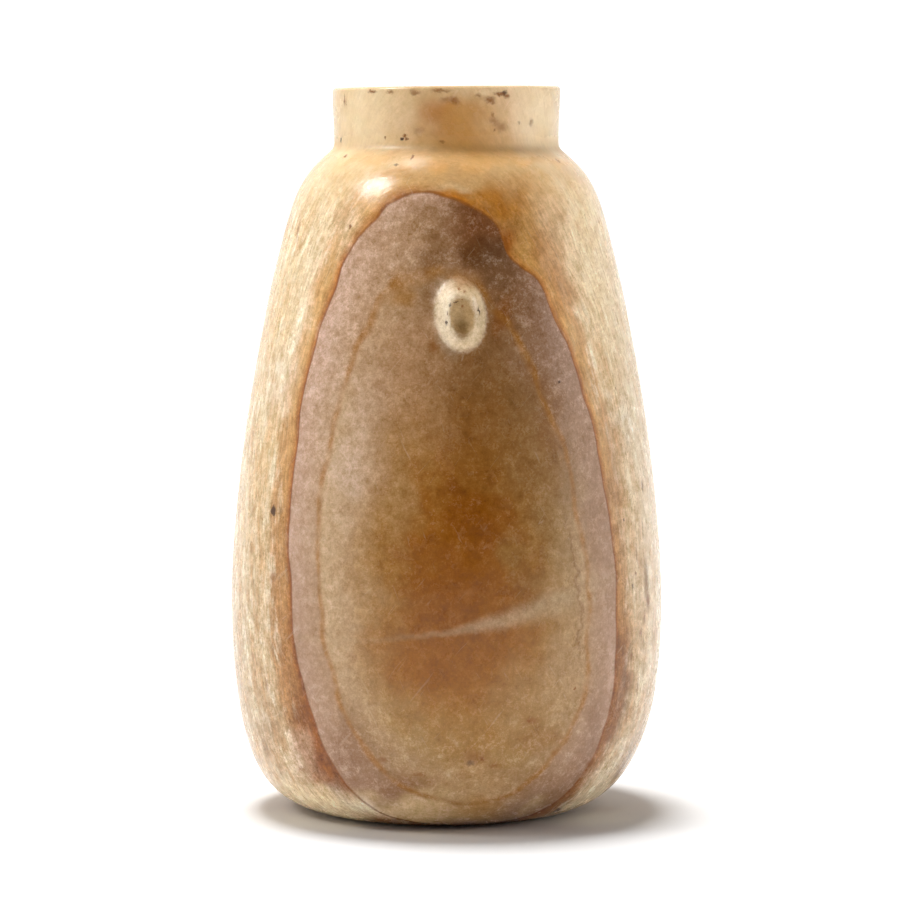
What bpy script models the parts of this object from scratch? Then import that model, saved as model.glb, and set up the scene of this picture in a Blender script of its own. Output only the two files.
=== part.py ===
"""Alabastron: a stone flask, hollowed through a short wide neck, with two small lugs.

Metres, +Z up. The origin is the centre of the flat base and Z is the turning axis. The front
lug faces -Y and the back lug faces +Y. The flask and its lugs are cut from one block of
banded calcite, so the object is one piece.
"""

import math

import bpy
from mathutils import Matrix, Vector

# Driving dimensions of the outside
HEIGHT = 0.250
BASE_RADIUS = 0.038  # flat part that it stands on
BELLY_RADIUS = 0.0747
BELLY_HEIGHT = 0.072
SHOULDER_RADIUS = 0.0538
SHOULDER_HEIGHT = 0.2076
SHOULDER_LEAN = math.radians(17)  # slope of the wall from the vertical
COLLAR_RADIUS = 0.0397  # where the shoulder meets the fillet under the neck
COLLAR_HEIGHT = 0.22815
COLLAR_LEAN = math.radians(49)
NECK_RADIUS = 0.0387  # at the foot of the neck
NECK_FOOT_HEIGHT = 0.2306
RIM_RADIUS = 0.0392
EDGE_RADIUS = 0.0012  # worn rounding of both rim edges

# Fullness of the outer curves between those places
BASE_SPREAD = 0.0584  # radius that the base heads out to before it turns up
BELLY_LOW = 0.0137  # heights that the belly runs straight towards, below and above
BELLY_HIGH = 0.1166
SHOULDER_BELOW = 0.0267  # lengths of wall that keep the shoulder's and collar's lean
SHOULDER_ABOVE = 0.0124
COLLAR_BELOW = 0.0073
COLLAR_ABOVE = 0.0008
NECK_BELOW = 0.0010

# The hollow
WALL = 0.0095
FLOOR_THICKNESS = 0.015
FLOOR_RADIUS = 0.022  # level middle of the inside
FLOOR_SPREAD = 0.048
HOLLOW_LOW = 0.029
HOLLOW_HIGH = 0.116
HOLLOW_SHOULDER_BELOW = 0.028
HOLLOW_SHOULDER_ABOVE = 0.009
BORE_RADIUS = 0.0310
BORE_FOOT_HEIGHT = 0.223
BORE_BELOW = 0.009

# The lugs, square to the wall and oval
LUG_HEIGHT = 0.174  # centre of the lugs above the base
LUG_RISE = 0.0049
LUG_CREST = 0.0052  # half the width of the dished face
LUG_DISH = 0.0012
LUG_CREST_SPREAD = 0.0068  # half-widths that shape the hollow flank from crest to foot
LUG_FLANK = (0.0078, 0.0012)
LUG_FOOT = (0.0106, -0.0016)  # half the width of the spread foot, just under the wall's face
LUG_SUNK = 0.0050  # how far the lug's root reaches into the wall
LUG_OVAL = 1.38  # height over width

SEGMENTS = 60
LUG_SEGMENTS = 28
SHARP_EDGE = math.radians(35)
MERGE = 0.00001


def bezier(start, start_handle, end_handle, end, steps):
    """Points along a cubic curve in the (radius, height) plane, without its last point."""
    controls = (start, start_handle, end_handle, end)
    points = []
    for step in range(steps):
        t = step / steps
        s = 1 - t
        weights = (s**3, 3 * s * s * t, 3 * s * t * t, t**3)
        point = [sum(w * c[axis] for w, c in zip(weights, controls)) for axis in (0, 1)]
        points.append(tuple(point))
    return points


def down_wall(place, lean, length):
    """The point this far down a wall that leans out from the vertical; up it if negative."""
    return (place[0] + length * math.sin(lean), place[1] - length * math.cos(lean))


def rim_edge(radius, first, last, steps=3):
    """The worn rounding of a rim edge about this radius, between two angles in degrees."""
    points = []
    for step in range(steps + 1):
        angle = math.radians(first + (last - first) * step / steps)
        rise = HEIGHT - EDGE_RADIUS + EDGE_RADIUS * math.sin(angle)
        points.append((radius + EDGE_RADIUS * math.cos(angle), rise))
    return points


def inner_profile():
    """The hollow, from the middle of its floor up to the flat of the rim."""
    floor = (FLOOR_RADIUS, FLOOR_THICKNESS)
    belly = (BELLY_RADIUS - WALL, BELLY_HEIGHT)
    shoulder = (SHOULDER_RADIUS - WALL * 1.05, SHOULDER_HEIGHT - WALL * 0.4)
    bore_foot = (BORE_RADIUS, BORE_FOOT_HEIGHT)
    shoulder_below = down_wall(shoulder, SHOULDER_LEAN, HOLLOW_SHOULDER_BELOW)
    shoulder_above = down_wall(shoulder, SHOULDER_LEAN, -HOLLOW_SHOULDER_ABOVE)
    bore_below = (BORE_RADIUS, BORE_FOOT_HEIGHT - BORE_BELOW)
    points = [(0.0, FLOOR_THICKNESS)]
    points += bezier(floor, (FLOOR_SPREAD, FLOOR_THICKNESS), (belly[0], HOLLOW_LOW), belly, 7)
    points += bezier(belly, (belly[0], HOLLOW_HIGH), shoulder_below, shoulder, 6)
    points += bezier(shoulder, shoulder_above, bore_below, bore_foot, 5)
    points.append(bore_foot)
    points += rim_edge(BORE_RADIUS + EDGE_RADIUS, 180, 90)
    return points


def outer_profile():
    """The outside, from the flat of the rim down to the middle of the base."""
    neck = (NECK_RADIUS, NECK_FOOT_HEIGHT)
    collar = (COLLAR_RADIUS, COLLAR_HEIGHT)
    shoulder = (SHOULDER_RADIUS, SHOULDER_HEIGHT)
    belly = (BELLY_RADIUS, BELLY_HEIGHT)
    base = (BASE_RADIUS, 0.0)
    neck_below = (NECK_RADIUS, NECK_FOOT_HEIGHT - NECK_BELOW)
    collar_above = down_wall(collar, COLLAR_LEAN, -COLLAR_ABOVE)
    collar_below = down_wall(collar, COLLAR_LEAN, COLLAR_BELOW)
    shoulder_above = down_wall(shoulder, SHOULDER_LEAN, -SHOULDER_ABOVE)
    shoulder_below = down_wall(shoulder, SHOULDER_LEAN, SHOULDER_BELOW)
    points = rim_edge(RIM_RADIUS - EDGE_RADIUS, 90, 0)
    points += bezier(neck, neck_below, collar_above, collar, 3)
    points += bezier(collar, collar_below, shoulder_above, shoulder, 5)
    points += bezier(shoulder, shoulder_below, (BELLY_RADIUS, BELLY_HIGH), belly, 8)
    points += bezier(belly, (BELLY_RADIUS, BELLY_LOW), (BASE_SPREAD, 0.0), base, 10)
    points += [base, (0.0, 0.0)]
    return points


def lug_profile():
    """A lug, from the middle of its dished face over the crest and down to its sunk root."""
    bottom = LUG_RISE - LUG_DISH
    crest = (LUG_CREST, LUG_RISE)
    face = (LUG_CREST / 2, bottom)
    points = bezier((0.0, bottom), face, (LUG_CREST * 0.75, LUG_RISE), crest, 4)
    points += bezier(crest, (LUG_CREST_SPREAD, LUG_RISE), LUG_FLANK, LUG_FOOT, 6)
    points += [LUG_FOOT, (LUG_FOOT[0], -LUG_SUNK), (0.0, -LUG_SUNK)]
    return points


def turned(name, profile, segments, collection):
    """An object made by turning a profile about Z with a Screw modifier."""
    mesh = bpy.data.meshes.new(name)
    edges = [(index, index + 1) for index in range(len(profile) - 1)]
    mesh.from_pydata([(radius, 0.0, height) for radius, height in profile], edges, [])
    shape = bpy.data.objects.new(name, mesh)
    collection.objects.link(shape)
    screw = shape.modifiers.new("Turn", "SCREW")
    screw.axis = "Z"
    screw.steps = segments
    screw.render_steps = segments
    screw.use_merge_vertices = True
    screw.merge_threshold = MERGE
    return shape


def keep_evaluated(shape):
    """Replaces an object's modifiers by the mesh that they make."""
    evaluated = shape.evaluated_get(bpy.context.evaluated_depsgraph_get())
    mesh = bpy.data.meshes.new_from_object(evaluated)
    shape.modifiers.clear()
    shape.data = mesh


def outside_radius(height):
    """Radius of the flask at a height, between the profile's points."""
    points = outer_profile()
    for upper, lower in zip(points, points[1:]):
        if lower[1] <= height < upper[1]:
            share = (upper[1] - height) / (upper[1] - lower[1])
            return upper[0] + share * (lower[0] - upper[0])
    raise ValueError("height outside the flask")


def outside_lean(height, step=0.004):
    """Slope of the flask's outside from the vertical at a height."""
    return math.atan2(outside_radius(height - step) - outside_radius(height + step), 2 * step)


def lug(name, facing, collection):
    """An oval dished lug, square to the wall, on the side facing -Y (-1) or +Y (+1)."""
    shape = turned(name, lug_profile(), LUG_SEGMENTS, collection)
    keep_evaluated(shape)
    lean = outside_lean(LUG_HEIGHT)
    outward = Vector((0.0, facing * math.cos(lean), math.sin(lean)))
    across = Vector((-facing, 0.0, 0.0))
    upward = outward.cross(across)
    turn = Matrix((across, upward, outward)).transposed().to_4x4()
    place = Matrix.Translation((0.0, facing * outside_radius(LUG_HEIGHT), LUG_HEIGHT))
    shape.data.transform(place @ turn @ Matrix.Diagonal((1.0, LUG_OVAL, 1.0, 1.0)))
    shape.display_type = "WIRE"
    shape.hide_render = True
    return shape


def calcite():
    """Polished honey and cream calcite."""
    material = bpy.data.materials.new("banded_calcite")
    material.use_nodes = True
    surface = material.node_tree.nodes["Principled BSDF"]
    surface.inputs["Base Color"].default_value = (0.62, 0.40, 0.20, 1.0)
    surface.inputs["Roughness"].default_value = 0.32
    surface.inputs["Metallic"].default_value = 0.0
    return material


def new_collection(name):
    """A collection linked to the scene."""
    collection = bpy.data.collections.new(name)
    bpy.context.scene.collection.children.link(collection)
    return collection


def build():
    """The flask, with both lugs joined to it."""
    for old in list(bpy.data.objects):
        bpy.data.objects.remove(old, do_unlink=True)
    parts = new_collection("alabastron")
    joined_shapes = new_collection("joined_shapes")

    vessel = turned("vessel", inner_profile() + outer_profile(), SEGMENTS, parts)
    keep_evaluated(vessel)
    vessel.data.materials.append(calcite())
    vessel.data.shade_smooth()
    vessel.data.set_sharp_from_angle(angle=SHARP_EDGE)
    for name, facing in (("front_lug", -1), ("back_lug", 1)):
        join = vessel.modifiers.new(name, "BOOLEAN")
        join.operation = "UNION"
        join.solver = "EXACT"
        join.object = lug(name, facing, joined_shapes)


build()
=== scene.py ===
"""Looks of the alabastron: a flask carved from banded calcite, on a pale floor in soft light.

Metres, +Z up, standing on z = 0, with the turning axis on Z and the worn front lug facing -Y.
Sizes below are in millimetres of the flask as it stands in the frame.
"""

import math

import bpy
import numpy as np
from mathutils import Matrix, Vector, noise


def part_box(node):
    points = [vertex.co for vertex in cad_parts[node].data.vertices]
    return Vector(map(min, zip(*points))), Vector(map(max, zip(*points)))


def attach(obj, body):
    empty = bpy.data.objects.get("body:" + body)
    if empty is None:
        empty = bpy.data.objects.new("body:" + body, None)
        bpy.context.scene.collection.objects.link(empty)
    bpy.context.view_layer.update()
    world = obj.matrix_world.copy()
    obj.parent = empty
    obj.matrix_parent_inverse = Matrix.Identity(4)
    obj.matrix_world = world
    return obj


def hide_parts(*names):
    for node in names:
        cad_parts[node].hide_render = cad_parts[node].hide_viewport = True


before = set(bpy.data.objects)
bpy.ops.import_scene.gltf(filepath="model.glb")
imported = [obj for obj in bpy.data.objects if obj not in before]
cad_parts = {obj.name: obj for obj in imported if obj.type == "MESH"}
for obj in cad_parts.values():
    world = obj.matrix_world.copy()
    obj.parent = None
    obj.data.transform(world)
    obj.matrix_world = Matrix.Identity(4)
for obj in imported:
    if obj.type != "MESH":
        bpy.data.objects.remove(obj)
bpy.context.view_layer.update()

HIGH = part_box("vessel")[1]
MM = HIGH.z / 250.0  # one millimetre of the flask, whose drawn height is 250

# Outside of the flask
HEIGHT = HIGH.z / MM
BELLY_RADIUS = HIGH.x / MM
BELLY_HEIGHT = 72.0
BASE_RADIUS = 38.0
SHOULDER = (53.8, 207.6)
SHOULDER_LEAN = math.radians(17)
COLLAR = (39.7, 228.15)
COLLAR_LEAN = math.radians(49)
NECK_FOOT = (38.7, 230.6)
RIM_RADIUS = 39.2
RIM_EDGE = 1.2  # worn rounding of the rim's edges

# Fullness of the outer curves between those places
BASE_SPREAD = 58.4  # radius that the base heads out to before it turns up
BELLY_LOW = 13.7  # heights that the belly runs straight towards, below and above
BELLY_HIGH = 116.6
SHOULDER_BELOW = 26.7  # lengths of wall that keep the shoulder's and collar's lean
SHOULDER_ABOVE = 12.4
COLLAR_BELOW = 7.3
COLLAR_ABOVE = 0.8
NECK_BELOW = 1.0
NECK_TAPER = (243.0, 238.0)  # heights between which the neck narrows to its foot

# The hollow, with the fullness of its curves given the same way
WALL = 9.5
FLOOR_THICKNESS = 15.0
FLOOR_RADIUS = 22.0
FLOOR_SPREAD = 48.0
HOLLOW_LOW = 29.0
HOLLOW_HIGH = 116.0
HOLLOW_SHOULDER_BELOW = 28.0
HOLLOW_SHOULDER_ABOVE = 9.0
BORE_RADIUS = 31.0
BORE_FOOT = 223.0
BORE_BELOW = 9.0
BORE_TAPER = (240.0, 232.0)
HOLLOW_SEGMENTS = 144

# The lugs
LUG_HEIGHT = 174.0
LUG_RISE = 4.6
LUG_HALF_WIDTH = 8.4
LUG_HALF_HEIGHT = 12.3
LUG_LEAN = math.radians(6)  # the front lug's top leans to -X
DISH_HALF_WIDTH = 4.5
DISH_HALF_HEIGHT = 7.0
DISH_DROP = 2.2  # the dish sits this far below the lug's middle
DISH_DEPTH = 1.5

# How far the flask is out of true
FOOT_SHIFT = -1.7  # the foot is cut this far off the axis, towards -X
FOOT_SHIFT_TOP = 48.0
RIM_DROP = 0.75  # the rim is this much lower at -X than at +X

RIM_RINGS = 6  # rings of the hollow that belong to the rounded rim


def linear(hex_colour):
    """Linear RGBA from an sRGB hex value."""
    channels = []
    for start in (0, 2, 4):
        value = int(hex_colour[start : start + 2], 16) / 255
        channels.append(value / 12.92 if value <= 0.04045 else ((value + 0.055) / 1.055) ** 2.4)
    return (*channels, 1.0)


# ---------------------------------------------------------------------------------------------
# Shape
# ---------------------------------------------------------------------------------------------


def bezier(start, start_handle, end_handle, end, steps=160):
    """Points along a cubic curve in the (radius, height) plane, without its last point."""
    t = np.arange(steps)[:, None] / steps
    controls = [np.array(point, float) for point in (start, start_handle, end_handle, end)]
    weights = ((1 - t) ** 3, 3 * (1 - t) ** 2 * t, 3 * (1 - t) * t**2, t**3)
    return sum(weight * control for weight, control in zip(weights, controls))


def down_wall(place, lean, length):
    """The point this far down a wall that leans out from the vertical; up it if negative."""
    return (place[0] + length * math.sin(lean), place[1] - length * math.cos(lean))


def quarter(centre_radius, first, last, steps=40):
    """The rounding of a rim edge, between two angles in degrees."""
    angle = np.radians(np.linspace(first, last, steps))
    radius = centre_radius + RIM_EDGE * np.cos(angle)
    height = HEIGHT - RIM_EDGE + RIM_EDGE * np.sin(angle)
    return np.stack([radius, height], axis=1)


def outer_curve():
    """The outside, from the flat of the rim down to the edge of the flat base."""
    belly = (BELLY_RADIUS, BELLY_HEIGHT)
    base = (BASE_RADIUS, 0.0)
    return np.concatenate(
        [
            quarter(RIM_RADIUS - RIM_EDGE, 90, 0),
            bezier(
                (RIM_RADIUS, HEIGHT - 2),
                (RIM_RADIUS, NECK_TAPER[0]),
                (NECK_FOOT[0], NECK_TAPER[1]),
                NECK_FOOT,
            ),
            bezier(
                NECK_FOOT,
                (NECK_FOOT[0], NECK_FOOT[1] - NECK_BELOW),
                down_wall(COLLAR, COLLAR_LEAN, -COLLAR_ABOVE),
                COLLAR,
            ),
            bezier(
                COLLAR,
                down_wall(COLLAR, COLLAR_LEAN, COLLAR_BELOW),
                down_wall(SHOULDER, SHOULDER_LEAN, -SHOULDER_ABOVE),
                SHOULDER,
            ),
            bezier(
                SHOULDER,
                down_wall(SHOULDER, SHOULDER_LEAN, SHOULDER_BELOW),
                (BELLY_RADIUS, BELLY_HIGH),
                belly,
            ),
            bezier(belly, (BELLY_RADIUS, BELLY_LOW), (BASE_SPREAD, 0.0), base),
            [base],
        ]
    )


def inner_curve():
    """The hollow, from the rim's inner edge down to the level middle of the floor."""
    belly = (BELLY_RADIUS - WALL, BELLY_HEIGHT)
    shoulder = (SHOULDER[0] - WALL * 1.05, SHOULDER[1] - WALL * 0.4)
    bore_foot = (BORE_RADIUS, BORE_FOOT)
    floor = (FLOOR_RADIUS, FLOOR_THICKNESS)
    return np.concatenate(
        [
            quarter(BORE_RADIUS + RIM_EDGE, 90, 180),
            bezier(
                (BORE_RADIUS, HEIGHT - 2),
                (BORE_RADIUS, BORE_TAPER[0]),
                (BORE_RADIUS, BORE_TAPER[1]),
                bore_foot,
            ),
            bezier(
                bore_foot,
                (BORE_RADIUS, BORE_FOOT - BORE_BELOW),
                down_wall(shoulder, SHOULDER_LEAN, -HOLLOW_SHOULDER_ABOVE),
                shoulder,
            ),
            bezier(
                shoulder,
                down_wall(shoulder, SHOULDER_LEAN, HOLLOW_SHOULDER_BELOW),
                (belly[0], HOLLOW_HIGH),
                belly,
            ),
            bezier(belly, (belly[0], HOLLOW_LOW), (FLOOR_SPREAD, FLOOR_THICKNESS), floor),
            [floor],
        ]
    )


def spaced(curve, spacing):
    """Points along a curve, as far apart as spacing says for each height."""
    steps = np.linalg.norm(np.diff(curve, axis=0), axis=1)
    along = np.concatenate([[0], np.cumsum(steps)])
    middle = (curve[1:, 1] + curve[:-1, 1]) / 2
    count = np.concatenate([[0], np.cumsum(steps / spacing(middle))])
    places = np.interp(np.linspace(0, count[-1], int(round(count[-1])) + 1), count, along)
    return np.stack([np.interp(places, along, curve[:, axis]) for axis in (0, 1)], axis=1)


def ring_spacing(height):
    """Fine rings at the rim edge and across the lugs, wider ones elsewhere."""
    spacing = np.full_like(height, 1.45)
    spacing[height > 212] = 1.0
    spacing[(height > LUG_HEIGHT - 16) & (height < LUG_HEIGHT + 16)] = 0.6
    spacing[height > HEIGHT - RIM_EDGE * 1.2] = 0.4
    return spacing


def hollow_spacing(height):
    """Rings of the hollow: close in the bore, where they show, and wide below it."""
    return np.where(height > 247, 0.5, np.where(height > 215, 1.3, 4.5))


def ring_angles():
    """Angles about the axis, 0 at the front: closest at the lugs, widest at the back."""
    dense = np.linspace(-math.pi, math.pi, 7201)
    off_front = np.degrees(np.abs(dense))
    step = np.where(off_front < 100, 1.0, 1.9)
    step = np.where(off_front < 13, 0.55, step)
    step = np.where(off_front > 167, 0.8, step)
    count = np.concatenate([[0], np.cumsum(0.05 / step[1:])])
    total = int(round(count[-1]))
    return np.interp(np.arange(total) * count[-1] / total, count, dense)


def smooth(low, high, value):
    """0 below low, 1 above high, and an even rise between."""
    t = np.clip((value - low) / (high - low), 0, 1)
    return t * t * (3 - 2 * t)


def lug_swell(across, up, lean, worn):
    """Height of a lug over the wall: a spread foot, a blunt crest and a dished face."""
    along = -across * math.sin(lean) + up * math.cos(lean)
    aside = across * math.cos(lean) + up * math.sin(lean)
    whole = np.hypot(aside / LUG_HALF_WIDTH, along / LUG_HALF_HEIGHT)
    face = np.hypot((aside - 0.3) / DISH_HALF_WIDTH, (along + DISH_DROP) / DISH_HALF_HEIGHT)
    flank = LUG_RISE * (1 - smooth(0.42, 1.12, whole))
    dish = DISH_DEPTH * (1 - smooth(0.15, 1.05, face))
    return flank - dish * worn


def grain(points, size, seed):
    """Soft noise between -1 and 1 at each point, with features of this size."""
    offset = Vector((seed * 17.3, seed * 5.1, seed * 9.7))
    flat = points.reshape(-1, 3) / size
    values = [noise.noise(Vector(point) + offset) for point in flat]
    return np.array(values).reshape(points.shape[:-1])


# Pits that are wide enough to be carved: angle from the front in degrees, height, half-width,
# half-height and depth
PITS = (
    (-54.6, 107.6, 1.5, 2.0, 0.9),
    (44.5, 5.6, 1.8, 1.1, 0.8),
    (5.2, 24.0, 1.2, 1.0, 0.5),
    (26.0, 28.5, 1.3, 0.8, 0.4),
    (13.0, 246.8, 2.6, 1.1, 0.5),
    (-17.3, 233.2, 1.1, 0.9, 0.5),
    (139.0, 88.0, 2.2, 1.6, 0.8),
    (-151.0, 140.0, 1.5, 2.4, 0.6),
    (167.0, 52.0, 1.8, 1.3, 0.7),
)


def wall_normals(curve):
    """Outward directions, as (radius, height), along a curve that runs down the outside."""
    tangent = np.gradient(curve, axis=0)
    normal = np.stack([-tangent[:, 1], tangent[:, 0]], axis=1)
    return normal / np.linalg.norm(normal, axis=1)[:, None]


def turned(curve, angles):
    """Points (rings, angles, xyz) of a curve turned about the axis."""
    radius, height = curve[:, 0:1], curve[:, 1:2]
    return np.stack([radius * np.sin(angles), -radius * np.cos(angles), height + 0 * angles], axis=2)


def outside_points(curve, angles):
    """The outside with its lugs, hand-worked unevenness and larger pits."""
    points = turned(curve, angles)
    normal = wall_normals(curve)
    outward = np.stack(
        [
            normal[:, 0:1] * np.sin(angles),
            -normal[:, 0:1] * np.cos(angles),
            normal[:, 1:2] + 0 * angles,
        ],
        axis=2,
    )
    steps = np.linalg.norm(np.diff(curve, axis=0), axis=1)
    along = np.concatenate([[0], np.cumsum(steps)])
    down = np.argsort(curve[:, 1])
    lug_along = np.interp(LUG_HEIGHT, curve[down, 1], along[down])
    up = (lug_along - along)[:, None] + 0 * angles
    radius = curve[:, 0:1]
    back_angles = (angles + 2 * math.pi) % (2 * math.pi) - math.pi

    swell = lug_swell(radius * angles, up, LUG_LEAN, 1.0)
    swell = swell + lug_swell(radius * back_angles, up, 0.0, 0.7)
    free_wall = smooth(0.0, 6.0, curve[:, 1:2]) * smooth(0.0, 8.0, HEIGHT - curve[:, 1:2])
    swell = swell + free_wall * (0.22 * grain(points, 38.0, 1) + 0.07 * grain(points, 11.0, 2))
    swell = swell - 0.05  # keeps the uneven belly inside its true circle
    for angle, height, half_width, half_height, depth in PITS:
        aside = radius * (angles - math.radians(angle)) / half_width
        above = (curve[:, 1:2] - height) / half_height
        swell = swell - depth * (1 - smooth(0.1, 1.25, np.hypot(aside, above)))
    return points + outward * swell[:, :, None]


def hollow_points(curve, angles):
    """The hollow, with the shallow grooves that the boring left round it."""
    points = turned(curve, angles)
    height = curve[:, 1:2]
    groove = 0.16 * np.sin(height * 2.1) + 0.12 * np.sin(height * 0.83 + 1.0)
    groove = groove * smooth(FLOOR_THICKNESS + 3, 30, height) * smooth(0, 3, HEIGHT - height)
    groove = groove + 0.25 * grain(points, 22.0, 3) * smooth(0, 6, HEIGHT - height)
    points[:, :, 0] += groove * np.sin(angles)
    points[:, :, 1] -= groove * np.cos(angles)
    return points


def out_of_true(points):
    """Sets the foot off the axis and tips the rim, as the carver left them."""
    height = points[:, 2]
    points[:, 0] += FOOT_SHIFT * (1 - smooth(0, FOOT_SHIFT_TOP, height)) ** 1.5
    points[:, 2] -= (
        RIM_DROP * (0.5 - 0.5 * points[:, 0] / RIM_RADIUS).clip(0, 1) * smooth(228, 249, height)
    )
    return points


def ring_quads(first, rings, count):
    """Quads between rings of the same count, facing out when the rings run downwards."""
    faces = []
    for ring in range(rings - 1):
        upper = first + ring * count
        lower = upper + count
        for index in range(count):
            following = (index + 1) % count
            faces.append((upper + index, lower + index, lower + following, upper + following))
    return faces


def zip_rings(outer_first, outer_angles, inner_first, inner_angles):
    """Triangles over the flat of the rim, between two rings of different counts."""
    faces = []
    outer_count, inner_count = len(outer_angles), len(inner_angles)
    outer, inner = 0, 0
    while outer < outer_count or inner < inner_count:
        outer_next = outer_angles[outer] if outer < outer_count else math.inf
        inner_next = inner_angles[inner] if inner < inner_count else math.inf
        at_outer = outer_first + outer % outer_count
        at_inner = inner_first + inner % inner_count
        if outer_next <= inner_next:
            outer += 1
            faces.append((at_inner, at_outer, outer_first + outer % outer_count))
        else:
            inner += 1
            faces.append((at_inner, at_outer, inner_first + inner % inner_count))
    return faces


def vessel_mesh():
    """The carved flask as one closed mesh."""
    outside = spaced(outer_curve(), ring_spacing)
    hollow = spaced(inner_curve(), hollow_spacing)
    angles = ring_angles()
    hollow_angles = np.linspace(-math.pi, math.pi, HOLLOW_SEGMENTS, endpoint=False)
    # The base is hollowed by a third of a millimetre, and the floor is level
    base_rings = np.array([[30.0, 0.12], [20.0, 0.3], [9.0, 0.35]])
    floor_rings = np.array([[14.0, FLOOR_THICKNESS], [6.0, FLOOR_THICKNESS]])

    outside_part = outside_points(outside, angles).reshape(-1, 3)
    base_part = turned(base_rings, angles).reshape(-1, 3)
    hollow_part = hollow_points(hollow, hollow_angles).reshape(-1, 3)
    floor_part = turned(floor_rings, hollow_angles).reshape(-1, 3)
    middles = np.array([[0.0, 0.0, 0.35], [0.0, 0.0, FLOOR_THICKNESS]])
    points = np.concatenate([outside_part, base_part, hollow_part, floor_part, middles])

    outer_rings = len(outside) + len(base_rings)
    inner_rings = len(hollow) + len(floor_rings)
    hollow_first = outer_rings * len(angles)
    base_middle = len(points) - 2
    floor_middle = len(points) - 1
    faces = ring_quads(0, outer_rings, len(angles))
    faces += [tuple(reversed(face)) for face in ring_quads(hollow_first, inner_rings, HOLLOW_SEGMENTS)]
    faces += zip_rings(0, angles, hollow_first, hollow_angles)
    last_outer = (outer_rings - 1) * len(angles)
    for index in range(len(angles)):
        following = (index + 1) % len(angles)
        faces.append((last_outer + index, base_middle, last_outer + following))
    last_inner = hollow_first + (inner_rings - 1) * HOLLOW_SEGMENTS
    for index in range(HOLLOW_SEGMENTS):
        following = (index + 1) % HOLLOW_SEGMENTS
        faces.append((last_inner + following, floor_middle, last_inner + index))

    points = out_of_true(points) * MM
    mesh = bpy.data.meshes.new("carved_flask")
    mesh.from_pydata(points.tolist(), [], faces)
    mesh.validate()
    mesh.shade_smooth()
    bored = mesh.attributes.new("bored", "FLOAT", "POINT")
    count = len(points)
    inside = np.zeros(count, dtype=np.float32)
    inside[hollow_first + HOLLOW_SEGMENTS * RIM_RINGS :] = 1.0
    inside[base_middle] = 0.0
    bored.data.foreach_set("value", inside)
    return mesh


# ---------------------------------------------------------------------------------------------
# Calcite
# ---------------------------------------------------------------------------------------------

MATH = "ShaderNodeMath"
VECTOR_MATH = "ShaderNodeVectorMath"
MAPPING = "ShaderNodeMapping"
JOIN = "ShaderNodeCombineXYZ"
RANGE = "ShaderNodeMapRange"
NOISE = "ShaderNodeTexNoise"
MIX = "ShaderNodeMix"
COLOUR = 2  # a Mix node's colour output


def add(tree, kind, values=None, **settings):
    """Adds a node. values maps its inputs to constants, or to what feeds them: an output socket,
    or a node for that node's first output."""
    made = tree.nodes.new(kind)
    for name, value in settings.items():
        setattr(made, name, value)
    for key, value in (values or {}).items():
        if isinstance(value, bpy.types.Node):
            value = value.outputs[0]
        if isinstance(value, bpy.types.NodeSocket):
            tree.links.new(value, made.inputs[key])
        else:
            made.inputs[key].default_value = value
    return made


# Veins of the stone, in front of the turning axis: depth where x = 0 and z = 110, leans per
# millimetre across and up, bows per square millimetre, and the twist between the two
BED_MIDDLE = 110.0
OUTER_VEIN = {
    "depth": 35.5,
    "across": 0.086,
    "up": 0.028,
    "bow": 0.0050,
    "rise": 0.0013,
    "twist": 0.0016,
}
INNER_VEIN = {
    "depth": 56.1,
    "across": 0.072,
    "up": -0.003,
    "bow": 0.0014,
    "rise": 0.0006,
    "twist": 0.0012,
}
# Kinks in the outer vein below the right shoulder: angle, height, half-width, half-height and
# how far each is pushed in
KINKS = (
    (17.0, 193.0, 6.0, 7.0, 3.2),
    (5.0, 206.0, 7.0, 5.0, 1.3),
    (-3.0, 211.0, 10.0, 6.0, 0.8),
)

# Beds behind the outer vein: depth in millimetres, colour at the shoulder, colour at the foot
# The foot colours are darker partly as painted shade towards the foot
OUTER_BEDS = (
    (-130.0, "CEAC7A", "A8855C"),
    (-112.0, "D6B888", "AE8E68"),
    (-104.0, "C69E68", "9C7A50"),
    (-88.0, "D4B484", "C4A886"),
    (-84.0, "BE945A", "A07A50"),
    (-74.0, "E0C496", "C6AA88"),
    (-52.0, "EED0A2", "C8AA84"),
    (-44.0, "E6C592", "BA9770"),
    (-38.0, "F0D3A6", "C6A781"),
    (-24.0, "EBCB9A", "C0A27A"),
    (-14.0, "EAC896", "C2A27A"),
    (-11.5, "ECCC9C", "C0A078"),
    (-9.5, "E0B27C", "A47646"),
    (-6.0, "DAAA6C", "9A602C"),
    (-3.0, "DAA864", "9C622E"),
    (-1.4, "C68640", "90561E"),
    (-0.5, "B06624", "844614"),
    (0.0, "9C5418", "74380E"),
)
# The ring between the veins, the same way, by depth in front of the inner vein
# Here too the foot colours are darker partly as painted shade
RING = (
    (-25.0, "D4AE94", "AE886C"),
    (-9.0, "D2AC92", "B08C72"),
    (0.0, "CEAA86", "AC8664"),
)
# The heart in front of the inner vein, where it was carved through
HEART = (
    (0.0, "CCAA82", "B49068"),
    (4.0, "C4A078", "B48E60"),
    (8.0, "B68C5A", "AE864E"),
    (12.0, "A87638", "AA7A38"),
    (16.0, "9C6018", "A87224"),
    (21.0, "925406", "A67020"),
)
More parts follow.
